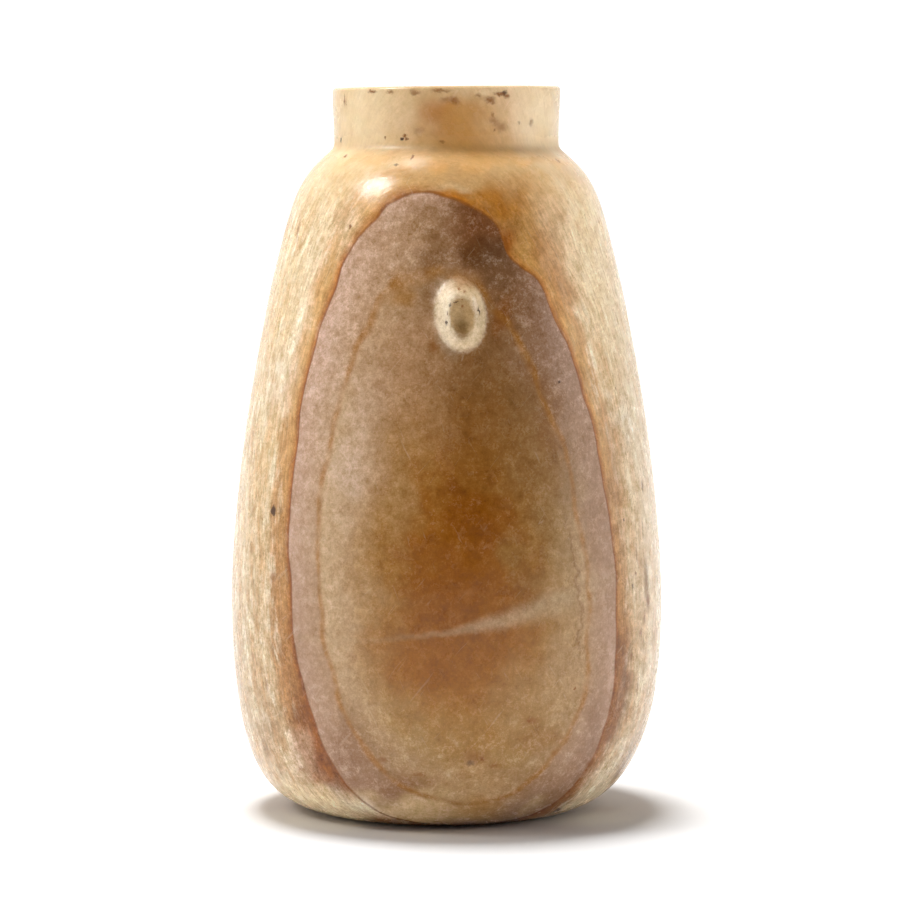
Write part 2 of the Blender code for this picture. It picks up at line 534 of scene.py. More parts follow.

# Clouds in the stone, and patches of painted light and shade where marked: angle from the front
# in degrees, height, half-width, half-height, softness of the edge, colour and strength
INNER_CLOUDS_AND_PAINTED_LIGHT = (
    (12, 180, 24, 24, 0.9, "7A4C1E", 0.85),
    (6, 203, 20, 11, 0.8, "7C4A22", 0.95),
    (-16, 200, 13, 10, 0.9, "BC946C", 0.7),
    (-32, 180, 7, 24, 0.9, "C49C7A", 0.4),
    (-12, 158, 20, 24, 0.9, "B48860", 0.75),
    (10, 150, 18, 22, 0.8, "865A2C", 0.75),
    (28, 165, 10, 24, 0.8, "9A745A", 0.6),
    (20, 122, 12, 20, 0.9, "8C6030", 0.65),
    (41, 120, 7, 44, 0.8, "A27A5A", 0.8),
    (28, 98, 9, 28, 0.7, "A68456", 0.6),
    (3, 120, 9, 30, 0.8, "8E5818", 0.75),
    (3, 106, 10, 9, 0.4, "8C4E00", 0.9),
    (8, 113, 4, 4, 0.4, "8A4E04", 0.7),
    (-2.5, 116, 4, 2.2, 0.4, "824806", 0.8),
    (12, 103, 4, 5, 0.5, "8E5208", 0.7),
    (-6, 60, 20, 12, 0.8, "9A5A00", 0.94),
    (-2, 84, 15, 17, 0.8, "945400", 0.92),
    (28, 55, 8, 14, 0.8, "B8946A", 0.6),
    (15, 46, 9, 13, 0.9, "B48C5A", 0.55),
    (-17, 114, 5, 13, 0.9, "B48C5C", 0.55),
    (14, 95, 4, 7, 0.8, "A07A42", 0.5),
    (31, 134, 6, 20, 0.9, "8A5C34", 0.45),
    (-20, 182, 4, 5, 0.7, "A8722E", 0.7),
    (4, 193, 6, 5, 0.6, "643804", 0.7),
    (14, 192, 7, 6, 0.8, "5C3C20", 0.6),
    (-9, 199, 4, 3, 0.7, "84582C", 0.6),
    (-7, 190, 4, 3, 0.7, "84582C", 0.6),
    (13, 173, 3, 8, 0.6, "864A0A", 0.7),
    (21.5, 32, 8, 5, 0.6, "966018", 0.5),
    (5, 22, 9, 2.5, 0.7, "9C6228", 0.25),
    (-16, 17, 12, 3, 0.8, "A4724A", 0.3),
    (22, 18, 14, 3, 0.8, "96683E", 0.3),
    (3, 19, 14, 6, 0.9, "D2AC80", 0.3),
    (-30, 28, 10, 11, 0.8, "84552E", 0.5),
    (39, 28, 6, 20, 0.8, "845A3C", 0.45),
    (-29, 132, 8, 24, 0.9, "D8B8A0", 0.35),
    (25, 138, 4, 18, 0.8, "8C5A28", 0.5),
    (4, 14, 12, 4, 0.9, "D4AA78", 0.55),
    # The pale patch low on the foot is painted light thrown up from the floor
    (-18, 7, 26, 6, 0.7, "EECC98", 0.9),
    (6, 8, 9, 5, 0.8, "BE8638", 0.6),
    (32, 10, 5, 5, 0.8, "94683E", 0.6),
    (0, 165, 5, 5, 0.9, "744410", 0.5),
    (-12, 181, 5, 7, 0.9, "7C4E1C", 0.4),
    (16, 150, 10, 8, 0.9, "7E521C", 0.3),
    (18, 84, 5, 6, 0.9, "765024", 0.35),
    (-33, 120, 4, 9, 0.9, "ECD0BA", 0.35),
    (-16, 16.5, 7, 2.5, 0.8, "7A4218", 0.45),
    (5, 25, 5, 4, 0.9, "D8AC74", 0.3),
    # The next two pale patches low on the foot are painted light thrown up from the floor
    (25, 8, 5, 3, 0.8, "F2CE9A", 0.4),
    (-35, 8, 8, 4, 0.8, "FFF2DC", 0.85),
)
OUTER_CLOUDS_AND_PAINTED_LIGHT = (
    (26, 205, 14, 15, 0.9, "C08C48", 0.9),
    (16, 196, 2.5, 5, 0.8, "B0641E", 0.8),
    (34, 186, 6, 18, 0.8, "BC7C2E", 0.75),
    (2, 219, 22, 5, 0.8, "C89E68", 0.9),
    (14, 212, 8, 5.5, 0.9, "A86A20", 0.85),
    (-2, 210, 22, 3, 0.9, "B87210", 0.55),
    # The next two thin pale arcs are a paler streak of the bed and partly a painted reflection
    (-5, 216, 6, 1.4, 0.8, "D2B084", 0.6),
    (2, 214.6, 5, 1.4, 0.8, "D0AC80", 0.6),
    (7.5, 210.6, 4, 1.6, 0.8, "C49A64", 0.4),
    (-6, 230, 40, 5, 0.9, "F0BC70", 0.6),
    (-33, 204, 6, 11, 0.9, "E0B070", 0.3),
    (-57, 186, 6, 28, 0.9, "FFECCC", 0.45),
    (58, 219, 12, 4, 0.9, "C09A6C", 0.6),
    (0, 238.5, 24, 8, 0.9, "B4782A", 0.9),
    (17, 237, 13, 7, 0.8, "C88E3E", 0.75),
    # The next four pale patches, on the sides of the neck and the right of the body, are painted light from
    # the sides
    (-48, 238, 16, 12, 0.9, "FFE2B4", 0.8),
    (50, 238, 18, 11, 0.9, "FFE4BC", 0.8),
    (58, 192, 16, 22, 0.9, "FFE2B8", 0.8),
    (64, 120, 14, 60, 0.9, "F0D8B8", 0.6),
    (49, 118, 4, 24, 0.8, "B07A44", 0.5),
    (-42, 32, 7.5, 28, 0.75, "884A0C", 0.82),
    (-50, 24, 5, 7, 0.9, "F2DCBC", 0.6),
    (38, 26, 4, 14, 0.8, "74441E", 0.6),
    (49, 48, 4, 20, 0.8, "824A18", 0.75),
    (-60, 36, 7, 8, 0.9, "A47A4E", 0.45),
    (-66, 29, 5, 9, 0.8, "A07C54", 0.5),
    (67, 21, 5, 8, 0.8, "9A7850", 0.7),
    # The next four pale patches low on the foot are painted light thrown up from the floor
    (-50, 7, 28, 5, 0.8, "FFE6BC", 0.95),
    (56, 8, 12, 5, 0.8, "FFEAC4", 0.95),
    (-34, 8.5, 6, 3, 0.6, "FFEECC", 0.9),
    (-40, 14.5, 5, 4.5, 0.8, "FFF2DC", 0.3),
    (-45, 27, 6, 9, 0.9, "965008", 0.45),
    (33, 211, 5, 5, 0.9, "F0CA98", 0.5),
    (17, 198, 4, 9, 0.9, "8A4A0A", 0.55),
    (-12, 240, 6, 6, 0.9, "B86C0C", 0.35),
    (12, 231, 10, 5, 0.9, "DA9A48", 0.35),
    # The warm band in the crease under the neck is painted shade, warmed as the stone's own reflected light
    # would warm it
    (24, 225, 60, 2.4, 0.9, "E8A858", 0.35),
    (54, 78, 8, 14, 0.9, "A87A40", 0.3),
    # The pale patch low on the right of the foot is painted light thrown up from the floor
    (51, 15, 7, 4, 0.8, "FFEED0", 0.5),
    (66, 16, 5, 4, 0.8, "7C5630", 0.45),
    (57, 136, 6, 9, 0.9, "FFF4E0", 0.4),
    (-63, 150, 8, 11, 0.9, "FFF0DA", 0.4),
    (-42, 202, 5, 6, 0.9, "FFECCC", 0.4),
)

# Dirt, stains and specks on the skin, and on the front lug a dark arc that is partly painted
# shade: angle, height, half-width, half-height, edge, colour, strength
DARK, BROWN, OLIVE, RUST = "421C00", "8A4E10", "80561A", "8C5414"
MARKS_AND_PAINTED_SHADE = (
    (-72.5, 231.5, 0.45, 1.1, 0.3, DARK, 0.95),
    (-27, 231.8, 0.7, 0.6, 0.4, DARK, 0.95),
    (-25.5, 232.9, 0.7, 0.7, 0.6, BROWN, 0.9),
    (-24.5, 231.9, 0.5, 0.5, 0.6, BROWN, 0.87),
    (-6.4, 230.9, 0.8, 0.6, 0.6, BROWN, 0.72),
    (-36.5, 232.2, 0.4, 0.5, 0.6, BROWN, 0.87),
    (-18.2, 234.6, 1.6, 1.1, 0.8, BROWN, 0.36),
    (-66.5, 245, 0.4, 1.9, 0.6, BROWN, 0.9),
    (-64.6, 244.3, 0.3, 0.9, 0.6, BROWN, 0.87),
    (25.2, 247.3, 1.0, 0.8, 0.5, DARK, 0.9),
    (22.6, 247.0, 1.6, 0.6, 0.8, BROWN, 0.9),
    (26.8, 246.2, 0.9, 0.7, 0.8, BROWN, 0.87),
    (17.6, 245.0, 1.5, 1.0, 0.8, BROWN, 0.87),
    (19.6, 244.0, 0.8, 0.6, 0.8, BROWN, 0.58),
    (11.4, 246.5, 1.1, 0.5, 0.8, BROWN, 0.58),
    (-0.5, 244.7, 1.3, 1.2, 0.8, BROWN, 0.72),
    (-5.0, 244.9, 1.5, 0.9, 0.8, BROWN, 0.51),
    (19.9, 237.8, 1.5, 1.3, 0.9, RUST, 0.6),
    (24.3, 235.9, 2.0, 1.4, 0.9, RUST, 0.6),
    (19.4, 239.9, 0.5, 0.7, 0.7, BROWN, 0.58),
    (20.3, 234.6, 0.5, 0.5, 0.7, BROWN, 0.72),
    (43.2, 237.4, 0.8, 1.2, 0.8, OLIVE, 0.65),
    (34.6, 237.2, 0.6, 0.6, 0.8, OLIVE, 0.58),
    (-44, 247.7, 1.6, 0.45, 0.8, BROWN, 0.87),
    (-33, 247.5, 1.2, 0.6, 0.8, BROWN, 0.72),
    (-20, 247.2, 1.5, 0.7, 0.8, BROWN, 0.65),
    (-7, 247.9, 3.0, 0.5, 0.8, BROWN, 0.65),
    (-20, 225.8, 0.5, 0.8, 0.6, BROWN, 0.9),
    (-26, 223.1, 0.8, 0.35, 0.5, DARK, 0.6),
    (-59, 226, 0.9, 0.5, 0.6, BROWN, 0.87),
    (55, 224.4, 0.9, 0.4, 0.6, BROWN, 0.72),
    (-39.9, 202.5, 0.45, 0.7, 0.6, BROWN, 0.9),
    (-69, 201, 1.0, 1.8, 0.8, BROWN, 0.58),
    (63.5, 114, 0.8, 1.8, 0.7, OLIVE, 0.87),
    (50.5, 104, 0.4, 0.4, 0.5, DARK, 0.8),
    (61.5, 82, 1.6, 5.5, 0.9, OLIVE, 0.9),
    (62.5, 75, 1.2, 2.6, 0.8, BROWN, 0.9),
    (53.3, 81.4, 0.5, 0.9, 0.6, DARK, 0.7),
    (55, 85.6, 0.4, 0.8, 0.6, BROWN, 0.9),
    (50.3, 67, 0.5, 0.9, 0.7, BROWN, 0.9),
    (57.8, 65, 1.0, 1.3, 0.8, BROWN, 0.9),
    (56, 92, 0.5, 2.4, 0.8, BROWN, 0.65),
    (60, 70, 0.6, 2.2, 0.8, BROWN, 0.72),
    (53, 58, 0.5, 2.0, 0.8, BROWN, 0.72),
    (58, 46, 0.6, 2.6, 0.8, BROWN, 0.65),
    (54, 36, 0.7, 1.8, 0.8, BROWN, 0.65),
    (61, 100, 0.5, 2.6, 0.8, OLIVE, 0.72),
    (46, 30, 1.6, 1.0, 0.8, BROWN, 0.72),
    (42, 22, 2.0, 0.9, 0.8, BROWN, 0.72),
    (-56, 60, 0.6, 3.0, 0.8, BROWN, 0.43),
    (-60, 48, 0.7, 2.4, 0.8, BROWN, 0.51),
    (-50, 20, 2.4, 1.0, 0.8, BROWN, 0.51),
    (-57.7, 107.2, 1.5, 1.7, 0.25, DARK, 0.9),
    (-55.9, 85.2, 1.4, 2.4, 0.9, BROWN, 0.51),
    (29.9, 151.3, 0.55, 0.5, 0.4, DARK, 0.9),
    (54.3, 148, 0.4, 0.8, 0.6, BROWN, 0.9),
    (3.5, 27.5, 3.4, 2.2, 0.9, BROWN, 0.51),
    (2.2, 25.6, 1.2, 0.7, 0.6, DARK, 0.6),
    (5.6, 27.0, 0.7, 0.9, 0.6, BROWN, 0.9),
    (19, 39.7, 2.4, 1.0, 0.9, BROWN, 0.58),
    (17.8, 39.4, 0.6, 0.5, 0.6, BROWN, 0.87),
    (9, 24.5, 2.0, 0.7, 0.8, BROWN, 0.58),
    (-12, 21.5, 2.6, 0.6, 0.8, BROWN, 0.51),
    (-22, 26.5, 1.6, 0.8, 0.8, BROWN, 0.51),
    (39.5, 4.8, 1.5, 0.9, 0.4, DARK, 0.85),
    (31.2, 49.5, 0.5, 0.5, 0.5, BROWN, 0.9),
    (-8.3, 163.7, 1.5, 2.0, 0.9, BROWN, 0.51),
    (5.1, 175.2, 0.35, 1.7, 0.35, DARK, 0.9),
    # The next rows on the front lug: cracks round the upper left of its dish, partly painted shade of the
    # dish's wall
    (-4.3, 171.6, 0.25, 1.0, 0.4, DARK, 0.9),
    (-4.0, 174.6, 0.2, 0.9, 0.4, BROWN, 0.9),
    (-3.3, 177.3, 0.4, 0.6, 0.4, DARK, 0.9),
    (-1.8, 178.3, 1.1, 0.25, 0.4, DARK, 0.9),
    (0.2, 179.2, 0.6, 0.25, 0.4, BROWN, 0.9),
    (0.4, 176.9, 0.5, 0.5, 0.6, BROWN, 0.87),
    (0.9, 181.6, 0.5, 0.5, 0.6, BROWN, 0.9),
    (-0.6, 182.4, 0.3, 0.6, 0.6, BROWN, 0.87),
)

# Colours of a lug, with painted light on its left flank and on the right wall of its dish: degrees to
# the right of its middle, how far below it, half-width, half-height, edge, strength and colour
LUG_COLOURS_AND_PAINTED_LIGHT = (
    (0.0, 0.0, 8.4, 12.2, 0.12, 0.9, "DCC29A"),
    # Whiter left flank: painted light from the left
    (-3.6, 0.5, 4.0, 10.0, 0.7, 0.7, "FAE6C8"),
    (1.5, -11.0, 5.0, 3.0, 0.9, 0.8, "A4764A"),
    (0.0, 1.0, 4.8, 7.6, 0.12, 0.9, "B48E58"),
    (0.0, 5.0, 2.6, 3.6, 0.6, 0.8, "76521E"),
    # Pale right wall of the dish: painted highlight
    (4.0, -2.5, 0.8, 3.6, 0.6, 0.6, "EEDCC2"),
)


def bed(tree, across, up, shape):
    """Depth of a vein in front of the axis, as a bowed sheet across the block."""
    lean = add(tree, MATH, {0: across, 1: shape["bow"], 2: shape["across"]}, operation="MULTIPLY_ADD")
    lean = add(tree, MATH, {0: up, 1: shape["twist"], 2: lean}, operation="MULTIPLY_ADD")
    sheet = add(tree, MATH, {0: across, 1: lean, 2: shape["depth"]}, operation="MULTIPLY_ADD")
    rise = add(tree, MATH, {0: up, 1: shape["rise"], 2: shape["up"]}, operation="MULTIPLY_ADD")
    return add(tree, MATH, {0: up, 1: rise, 2: sheet}, operation="MULTIPLY_ADD")


SILHOUETTE = outer_curve()[::-1]


def patch(tree, place, angle, height, half_width, half_height, edge, strength=1.0, lean=0.0):
    """An oval patch on the outside at this angle and height: strength within it, 0 outside."""
    turn = math.radians(angle)
    radius = float(np.interp(height, SILHOUETTE[:, 1], SILHOUETTE[:, 0]))
    reach = 1 + edge
    ball = add(tree, "ShaderNodeTexGradient", {"Vector": place}, gradient_type="SPHERICAL")
    ball.texture_mapping.vector_type = "TEXTURE"
    ball.texture_mapping.translation = (radius * math.sin(turn), -radius * math.cos(turn), height)
    ball.texture_mapping.rotation = (0.0, -lean, turn)
    ball.texture_mapping.scale = (
        half_width * reach,
        max(half_width, half_height, 7.0) * reach,
        half_height * reach,
    )
    values = {0: ball.outputs["Fac"], 2: 2 * edge / reach, 4: strength}
    return add(tree, RANGE, values, interpolation_type="SMOOTHSTEP")


def strayed(tree, place, size, reach):
    """The place, moved about by this reach in eddies of this size, both in millimetres."""
    eddy = add(tree, NOISE, {"Vector": place, "Scale": 1 / size, "Detail": 2.0, "Roughness": 0.6})
    moved = add(
        tree,
        VECTOR_MATH,
        {0: eddy.outputs["Color"], 1: (4 * reach,) * 3, 2: place},
        operation="MULTIPLY_ADD",
    )
    return add(tree, VECTOR_MATH, {0: moved, 1: (2 * reach,) * 3}, operation="SUBTRACT")


def veins(tree, place, across, behind, height):
    """How far each point lies in front of the outer and the inner vein, in millimetres."""
    up = add(tree, MATH, {0: height, 1: BED_MIDDLE}, operation="SUBTRACT")
    # Veins wander by about a millimetre over a thumb's breadth, and fray by a quarter of one
    slow = add(tree, NOISE, {"Vector": place, "Scale": 1 / 20, "Detail": 1.0})
    quick = add(tree, NOISE, {"Vector": place, "Scale": 1 / 6, "Detail": 3.0})
    depth = add(tree, MATH, {0: slow, 1: 4.0, 2: -2.45}, operation="MULTIPLY_ADD")
    depth = add(tree, MATH, {0: quick, 1: 0.9, 2: depth}, operation="MULTIPLY_ADD")
    depth = add(tree, MATH, {0: depth, 1: behind}, operation="SUBTRACT")
    outer = bed(tree, across, up, OUTER_VEIN)
    outer = add(tree, MATH, {0: depth, 1: outer}, operation="SUBTRACT")
    inner = bed(tree, across, up, INNER_VEIN)
    inner = add(tree, MATH, {0: depth, 1: inner}, operation="SUBTRACT")
    for angle, at, half_width, half_height, push in KINKS:
        kinked = patch(tree, place, angle, at, half_width, half_height, 1.0)
        outer = add(tree, MATH, {0: kinked, 1: -push, 2: outer}, operation="MULTIPLY_ADD")
    return outer, inner


def bed_colours(tree, depth, beds, towards_shoulder):
    """Colours of a run of beds by depth, between their looks at the foot and the shoulder."""
    first, last = beds[0][0], beds[-1][0]
    place = add(tree, RANGE, {0: depth, 1: first, 2: last})
    looks = []
    for column in (1, 2):
        ramp = add(tree, "ShaderNodeValToRGB", {0: place})
        stops = ramp.color_ramp.elements
        stops[0].color, stops[-1].color = linear(beds[0][column]), linear(beds[-1][column])
        for row in beds[1:-1]:
            stops.new((row[0] - first) / (last - first)).color = linear(row[column])
        looks.append(ramp)
    return add(tree, MIX, {0: towards_shoulder, 6: looks[1], 7: looks[0]}, data_type="RGBA").outputs[COLOUR]


def clouded(tree, place, colour, clouds):
    """The colour with these clouds or marks drawn over it."""
    for angle, height, half_width, half_height, edge, shade, strength in clouds:
        mask = patch(tree, place, angle, height, half_width, half_height, edge, strength)
        colour = add(tree, MIX, {0: mask, 6: colour, 7: linear(shade)}, data_type="RGBA").outputs[COLOUR]
    return colour


def cloud_layer(mesh, name, clouds):
    """Clouds worked out at the mesh's points: the colour they add, and the share of the stone
    that still shows through them. Their edges wander in eddies of 12 and 5 mm."""
    points = np.array([vertex.co for vertex in mesh.vertices]) / MM
    moved = points.copy()
    # Unseeded, this noise would take its eddies from the clock and differ in each run
    noise.seed_set(4)
    for size, reach in ((12.0, 5.0), (5.0, 2.2)):
        moved += reach * np.array([noise.noise_vector(Vector(point)) for point in points / size])
    laid = np.zeros((len(points), 3))
    clear = np.ones(len(points))
    for angle, height, half_width, half_height, edge, shade, strength in clouds:
        turn = math.radians(angle)
        radius = float(np.interp(height, SILHOUETTE[:, 1], SILHOUETTE[:, 0]))
        offset = moved - (radius * math.sin(turn), -radius * math.cos(turn), height)
        aside = offset[:, 0] * math.cos(turn) + offset[:, 1] * math.sin(turn)
        inward = offset[:, 1] * math.cos(turn) - offset[:, 0] * math.sin(turn)
        away = np.sqrt(
            (aside / half_width) ** 2
            + (inward / max(half_width, half_height)) ** 2
            + (offset[:, 2] / half_height) ** 2
        )
        mask = strength * (1 - smooth(1 - edge, 1 + edge, away))
        laid = laid * (1 - mask[:, None]) + mask[:, None] * linear(shade)[:3]
        clear = clear * (1 - mask)
    added = mesh.attributes.new(name, "FLOAT_VECTOR", "POINT")
    added.data.foreach_set("vector", laid.astype(np.float32).ravel())
    shown = mesh.attributes.new(name + "_clear", "FLOAT", "POINT")
    shown.data.foreach_set("value", clear.astype(np.float32))


def under_layer(tree, colour, name):
    """The colour with a layer of clouds over it."""
    laid = add(tree, "ShaderNodeAttribute", attribute_name=name).outputs["Vector"]
    clear = add(tree, "ShaderNodeAttribute", attribute_name=name + "_clear").outputs["Fac"]
    return add(tree, VECTOR_MATH, {0: colour, 1: clear, 2: laid}, operation="MULTIPLY_ADD")


def shaded(tree, colour, shade):
    """The colour made paler or darker by this share, and with that greyer or warmer."""
    tint = add(
        tree,
        VECTOR_MATH,
        {0: shade, 1: (1.0, 1.25, 1.8), 2: (1.0, 1.0, 1.0)},
        operation="MULTIPLY_ADD",
    )
    return add(tree, VECTOR_MATH, {0: colour, 1: tint}, operation="MULTIPLY")


def veil(tree, across, height, mottle):
    """A milky sheet through the heart, from a thread on the left to a wedge on the right."""
    # Its middle climbs from 69 mm on the left to 80 mm at the right-hand vein
    climb = add(tree, MATH, {0: across, 1: -0.0018, 2: -0.19}, operation="MULTIPLY_ADD")
    offset = add(tree, MATH, {0: across, 1: climb, 2: height}, operation="MULTIPLY_ADD")
    offset = add(tree, MATH, {0: mottle, 1: 2.5, 2: offset}, operation="MULTIPLY_ADD")
    offset = add(tree, MATH, {0: offset, 1: 72.2}, operation="SUBTRACT")
    offset = add(tree, MATH, {0: offset}, operation="ABSOLUTE")
    thickness = add(tree, RANGE, {0: across, 1: -8.0, 2: 30.0, 3: 1.6, 4: 7.0})
    depth = add(tree, MATH, {0: offset, 1: thickness}, operation="DIVIDE")
    body = add(tree, RANGE, {0: depth, 1: 1.0, 2: 0.0, 3: 0.0, 4: 0.55}, interpolation_type="SMOOTHSTEP")
    ends = add(tree, RANGE, {0: across, 1: 48.0, 2: 30.0, 3: 0.35, 4: 1.0}, interpolation_type="SMOOTHSTEP")
    left_end = add(
        tree, RANGE, {0: across, 1: -26.0, 2: 14.0, 3: 0.3, 4: 1.0}, interpolation_type="SMOOTHSTEP"
    )
    body = add(tree, MATH, {0: body, 1: ends}, operation="MULTIPLY")
    return add(tree, MATH, {0: body, 1: left_end}, operation="MULTIPLY")


def hairline(tree, place, across, height, mottle):
    """A healed crack down the right of the heart, not quite a millimetre wide."""
    up = add(tree, MATH, {0: height, 1: 84.0}, operation="SUBTRACT")
    bow = add(tree, MATH, {0: up, 1: 0.0032, 2: 0.12}, operation="MULTIPLY_ADD")
    path = add(tree, MATH, {0: up, 1: bow, 2: across}, operation="MULTIPLY_ADD")
    path = add(tree, MATH, {0: mottle, 1: 7.0, 2: path}, operation="MULTIPLY_ADD")
    path = add(tree, MATH, {0: path, 1: 42.6}, operation="SUBTRACT")
    near = patch(tree, place, 31, 84, 12, 24, 0.4)
    away = add(tree, MATH, {0: path}, operation="ABSOLUTE")
    line = add(tree, RANGE, {0: away, 1: 0.7, 2: 0.1, 3: 0.0, 4: 0.55})
    line = add(tree, MATH, {0: line, 1: near}, operation="MULTIPLY")
    beyond = add(tree, RANGE, {0: path, 1: -0.3, 2: 0.3, 3: 0.0, 4: 0.4})
    fading = add(tree, RANGE, {0: path, 1: 8.0, 2: 0.5})
    beyond = add(tree, MATH, {0: beyond, 1: fading}, operation="MULTIPLY")
    beyond = add(tree, MATH, {0: beyond, 1: near}, operation="MULTIPLY")
    return line, beyond


def scratches(tree, place, turn, seed):
    """Hair scratches 0.2 mm wide and up to 10 mm long that run at this slope."""
    laid = add(
        tree,
        MAPPING,
        {
            "Vector": place,
            "Location": (seed * 31.0, seed * 7.0, seed * 13.0),
            "Rotation": (0, math.radians(turn), 0),
            "Scale": (11.0, 11.0, 1.0),
        },
        vector_type="TEXTURE",
    )
    wave = add(tree, NOISE, {"Vector": laid, "Scale": 1 / 2.6, "Detail": 1.0})
    wave = add(tree, MATH, {0: wave, 1: 0.5}, operation="SUBTRACT")
    wave = add(tree, MATH, {0: wave}, operation="ABSOLUTE")
    line = add(tree, RANGE, {0: wave, 1: 0.014, 2: 0.004})
    broken = add(tree, NOISE, {"Vector": laid, "Scale": 1 / 1.4, "Detail": 1.0})
    broken = add(tree, RANGE, {0: broken, 1: 0.62, 2: 0.7})
    return add(tree, MATH, {0: line, 1: broken}, operation="MULTIPLY")


def calcite():
    """Banded calcite, ground to shape and rubbed to a soft polish: waxy, with light under its
    skin, streaked along its beds, flecked with paler crystals and dulled by hair scratches.
    The hollow was left as it was bored, so it is duller and dirtier."""
    material = bpy.data.materials.new("rubbed_banded_calcite")
    material.use_nodes = True
    tree = material.node_tree
    surface = tree.nodes["Principled BSDF"]
    place = add(tree, "ShaderNodeTexCoord").outputs["Object"]
    place = add(tree, VECTOR_MATH, {0: place, "Scale": 1 / MM}, operation="SCALE")
    across, behind, height = add(tree, "ShaderNodeSeparateXYZ", {0: place}).outputs
    outer, inner = veins(tree, place, across, behind, height)
    mark_place = strayed(tree, place, 1.4, 0.5)

    # Mottling of 6 mm, and flecks that are as strong at a third of a millimetre as at five
    mottle = add(tree, NOISE, {"Vector": place, "Scale": 1 / 6, "Detail": 3.0, "Roughness": 0.6})
    flecks = add(tree, NOISE, {"Vector": place, "Scale": 1 / 5, "Detail": 4.0, "Roughness": 1.0})
    # Along the beds the stone is drawn out: blots 5 mm thick and 15 mm long, and grains 1 mm
    # thick and 9 mm long
    layered = add(tree, JOIN, {0: outer, 1: across, 2: height})
    blot_place = add(tree, VECTOR_MATH, {0: layered, 1: (1.0, 0.6, 0.33)}, operation="MULTIPLY")
    blots = add(tree, NOISE, {"Vector": blot_place, "Scale": 1 / 5, "Detail": 4.0, "Roughness": 0.72})
    grain_place = add(tree, VECTOR_MATH, {0: layered, 1: (1.0, 0.25, 0.12)}, operation="MULTIPLY")
    grains = add(tree, NOISE, {"Vector": grain_place, "Scale": 1 / 1.1, "Detail": 2.0, "Roughness": 0.7})

    # Outer beds: honey next to the vein, then cream, blotted and streaked except on the neck,
    # which was rubbed most
    # Share of the shoulder colours up the wall; the darker foot colours below are partly painted shade
    up_from_painted_foot_shade = add(tree, RANGE, {0: height, 1: 5.0, 2: 175.0})
    widening = add(tree, RANGE, {0: height, 1: 20.0, 2: 140.0, 3: 0.007, 4: 0.0})
    spread = add(tree, MATH, {0: across, 1: widening, 2: 1.0}, operation="MULTIPLY_ADD")
    spread = add(tree, MATH, {0: outer, 1: spread}, operation="MULTIPLY")
    outside = bed_colours(tree, spread, OUTER_BEDS, up_from_painted_foot_shade)
    below_neck = add(tree, RANGE, {0: height, 1: 224.0, 2: 205.0, 3: 0.25, 4: 1.0})
    blotted = add(tree, RANGE, {0: spread, 1: -4.0, 2: -9.0, 3: 0.25, 4: 1.0})
    blotted = add(tree, MATH, {0: blotted, 1: below_neck}, operation="MULTIPLY")
    # The stone is quieter at the back
    calm = add(tree, RANGE, {0: outer, 1: -90.0, 2: -62.0, 3: 0.35, 4: 1.0})
    blotted = add(tree, MATH, {0: blotted, 1: calm}, operation="MULTIPLY")
    for low, high, strength, shade in ((0.5, 0.68, 0.62, "C68A46"), (0.48, 0.34, 0.6, "FFF0D2")):
        blot = add(tree, RANGE, {0: blots, 1: low, 2: high, 3: 0.0, 4: strength})
        blot = add(tree, MATH, {0: blot, 1: blotted}, operation="MULTIPLY")
        outside = add(tree, MIX, {0: blot, 6: outside, 7: linear(shade)}, data_type="RGBA").outputs[COLOUR]
    outside = under_layer(tree, outside, "outer_clouds_and_painted_light")
    streak = add(tree, RANGE, {0: grains, 1: 0.3, 2: 0.7, 3: -0.2, 4: 0.2})
    streak = add(tree, MATH, {0: streak, 1: below_neck}, operation="MULTIPLY")
    outside = shaded(tree, outside, streak)

    # The ring and the heart
    ring = bed_colours(tree, inner, RING, up_from_painted_foot_shade)
    above_foot = add(tree, RANGE, {0: height, 1: 25.0, 2: 85.0}, interpolation_type="SMOOTHSTEP")
    core = add(tree, MATH, {0: across, 1: 0.07, 2: inner}, operation="MULTIPLY_ADD")
    core = add(tree, MATH, {0: mottle, 1: 8.0, 2: core}, operation="MULTIPLY_ADD")
    core = add(tree, MATH, {0: core, 1: 4.0}, operation="SUBTRACT")
    heart = bed_colours(tree, core, HEART, above_foot)
    in_heart = add(tree, RANGE, {0: inner, 1: -1.2, 2: 1.0}, interpolation_type="SMOOTHSTEP")
    within = add(tree, MIX, {0: in_heart, 6: ring, 7: heart}, data_type="RGBA").outputs[COLOUR]
    within = under_layer(tree, within, "inner_clouds_and_painted_light")
    milk = veil(tree, across, height, mottle)
    within = add(tree, MIX, {0: milk, 6: within, 7: linear("C8AC88")}, data_type="RGBA").outputs[COLOUR]
    line, beyond = hairline(tree, place, across, height, mottle)
    within = add(tree, MIX, {0: beyond, 6: within, 7: linear("BE9A70")}, data_type="RGBA").outputs[COLOUR]
    within = add(tree, MIX, {0: line, 6: within, 7: linear("8A5C30")}, data_type="RGBA").outputs[COLOUR]

    # The inner vein, 1.3 mm of soft amber that comes and goes
    edge = add(tree, MATH, {0: inner}, operation="ABSOLUTE")
    amber = add(tree, RANGE, {0: edge, 1: 1.2, 2: 0.1, 3: 0.0, 4: 1.0}, interpolation_type="SMOOTHSTEP")
    fading = add(tree, RANGE, {0: mottle, 1: 0.35, 2: 0.6, 3: 0.3, 4: 0.8})
    amber = add(tree, MATH, {0: amber, 1: fading}, operation="MULTIPLY")
    within = add(tree, MIX, {0: amber, 6: within, 7: linear("A8702E")}, data_type="RGBA").outputs[COLOUR]

